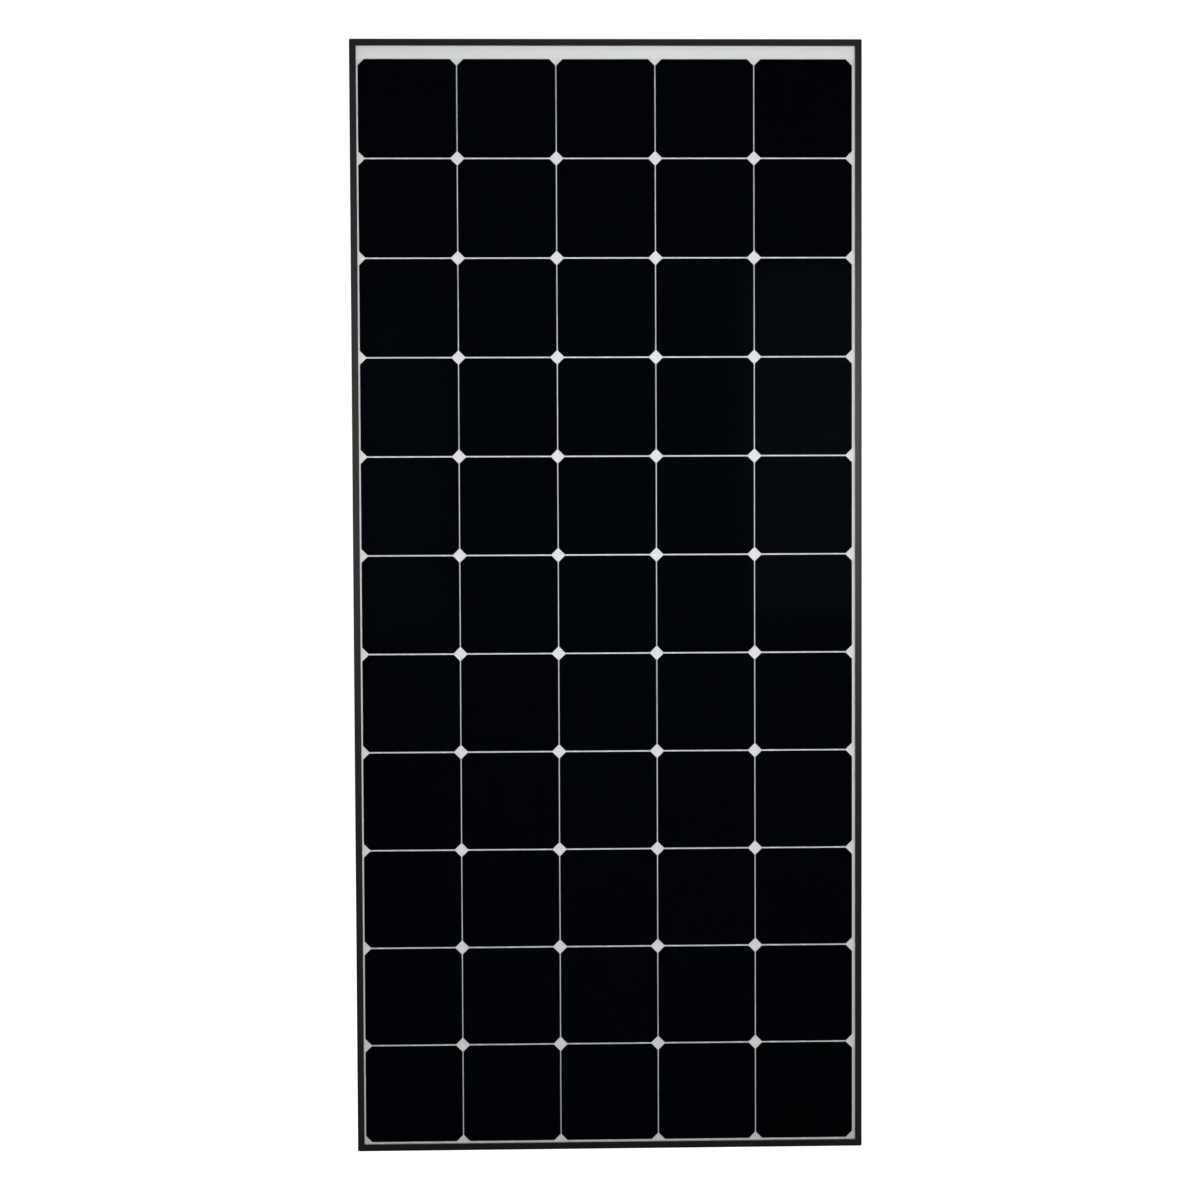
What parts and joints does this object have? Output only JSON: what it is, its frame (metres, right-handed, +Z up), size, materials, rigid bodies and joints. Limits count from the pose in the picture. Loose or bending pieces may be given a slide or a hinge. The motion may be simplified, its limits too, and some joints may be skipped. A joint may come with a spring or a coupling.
{
  "type": "framed solar panel",
  "caption": "Rigid framed solar panel: mitred rails hold a glass and backsheet laminate of square cells; a rear junction box has a hinged lid and screwed cable glands.",
  "frame": {"origin": "middle of the frame's lower edge, at half the frame's depth, on its lowest plane", "axes": "+Z up the long side towards the header band, glass faces -Y, junction box and rail slots face +Y, +X to the viewer's right seen from the glass side"},
  "size_m": [0.655, 0.035, 1.43],
  "materials": {
    "anodised_frame": "black anodised, satin",
    "mill_aluminium": "mill finish",
    "foam_tape": "black closed-cell foam tape",
    "solar_glass": "low-iron, anti-reflection coated",
    "encapsulant": "clear, laminated",
    "silicon_cell": "near black with a dark blue cast",
    "coated_tab": "white-coated on the front, tinned behind",
    "tinned_ribbon": "tinned copper",
    "white_film": "white film",
    "box_plastic": "fine spark-eroded texture",
    "adhesive": "silicone bead",
    "gasket_rubber": "silicone rubber",
    "steel_pin": "drawn steel",
    "tinned_plate": "tinned copper",
    "spring_steel": "spring steel",
    "plated_screw": "nickel-plated",
    "diode_case": "moulded"
  },
  "bodies": {
    "panel": {"frame_rail_left": "anodised_frame", "frame_rail_right": "anodised_frame", "frame_rail_top": "anodised_frame", "frame_rail_bottom": "anodised_frame", "corner_key_top_left": "mill_aluminium", "corner_key_top_right": "mill_aluminium", "corner_key_bottom_left": "mill_aluminium", "corner_key_bottom_right": "mill_aluminium", "edge_seal_left": "foam_tape", "edge_seal_right": "foam_tape", "edge_seal_top": "foam_tape", "edge_seal_bottom": "foam_tape", "front_glass": "solar_glass", "front_encapsulant": "encapsulant", "rear_encapsulant": "encapsulant", "cell_string_1": "silicon_cell", "cell_string_2": "silicon_cell", "cell_string_3": "silicon_cell", "cell_string_4": "silicon_cell", "cell_string_5": "silicon_cell", "cell_interconnects_1": "coated_tab", "cell_interconnects_2": "coated_tab", "cell_interconnects_3": "coated_tab", "cell_interconnects_4": "coated_tab", "cell_interconnects_5": "coated_tab", "top_bus_ribbons": "tinned_ribbon", "bottom_bus_ribbons": "tinned_ribbon", "return_ribbon": "tinned_ribbon", "ribbon_tails": "tinned_ribbon", "header_cover_strip": "white_film", "ribbon_insulators": "white_film", "backsheet": "white_film", "jbox_base": "box_plastic", "gland_body_left": "box_plastic", "gland_body_right": "box_plastic", "jbox_adhesive": "adhesive", "jbox_lid_gasket": "gasket_rubber", "gland_seal_left": "gasket_rubber", "gland_seal_right": "gasket_rubber", "jbox_hinge_pins": "steel_pin", "terminal_plates": "tinned_plate", "cable_clamps": "tinned_plate", "ribbon_clips": "spring_steel", "terminal_screws": "plated_screw", "bypass_diodes": "diode_case"},
    "lid": {"jbox_lid": "box_plastic"},
    "claw_left": {"gland_claw_left": "box_plastic"},
    "nut_left": {"gland_nut_left": "box_plastic"},
    "claw_right": {"gland_claw_right": "box_plastic"},
    "nut_right": {"gland_nut_right": "box_plastic"}
  },
  "joints": [
    {"name": "lid_hinge", "type": "hinge", "parent": "panel", "child": "lid", "pos_m": [0, 0.0072, 1.3885], "axis": [1, 0, 0], "range_deg": [0, 105]},
    {"name": "claw_left_slide", "type": "slide", "parent": "panel", "child": "claw_left", "axis": [0, 0, -1], "range_m": [0, 0.0045]},
    {"name": "nut_left_turn", "type": "hinge", "parent": "claw_left", "child": "nut_left", "pos_m": [-0.028, 0.0008, 1.282], "axis": [0, 0, -1], "range_deg": [0, 1080]},
    {"name": "claw_right_slide", "type": "slide", "parent": "panel", "child": "claw_right", "axis": [0, 0, -1], "range_m": [0, 0.0045]},
    {"name": "nut_right_turn", "type": "hinge", "parent": "claw_right", "child": "nut_right", "pos_m": [0.028, 0.0008, 1.282], "axis": [0, 0, -1], "range_deg": [0, 1080]}
  ],
  "couplings": [
    {"joint": "claw_left_slide", "follows": "nut_left_turn", "m_per_rad": 0.00023873},
    {"joint": "claw_right_slide", "follows": "nut_right_turn", "m_per_rad": 0.00023873}
  ]
}
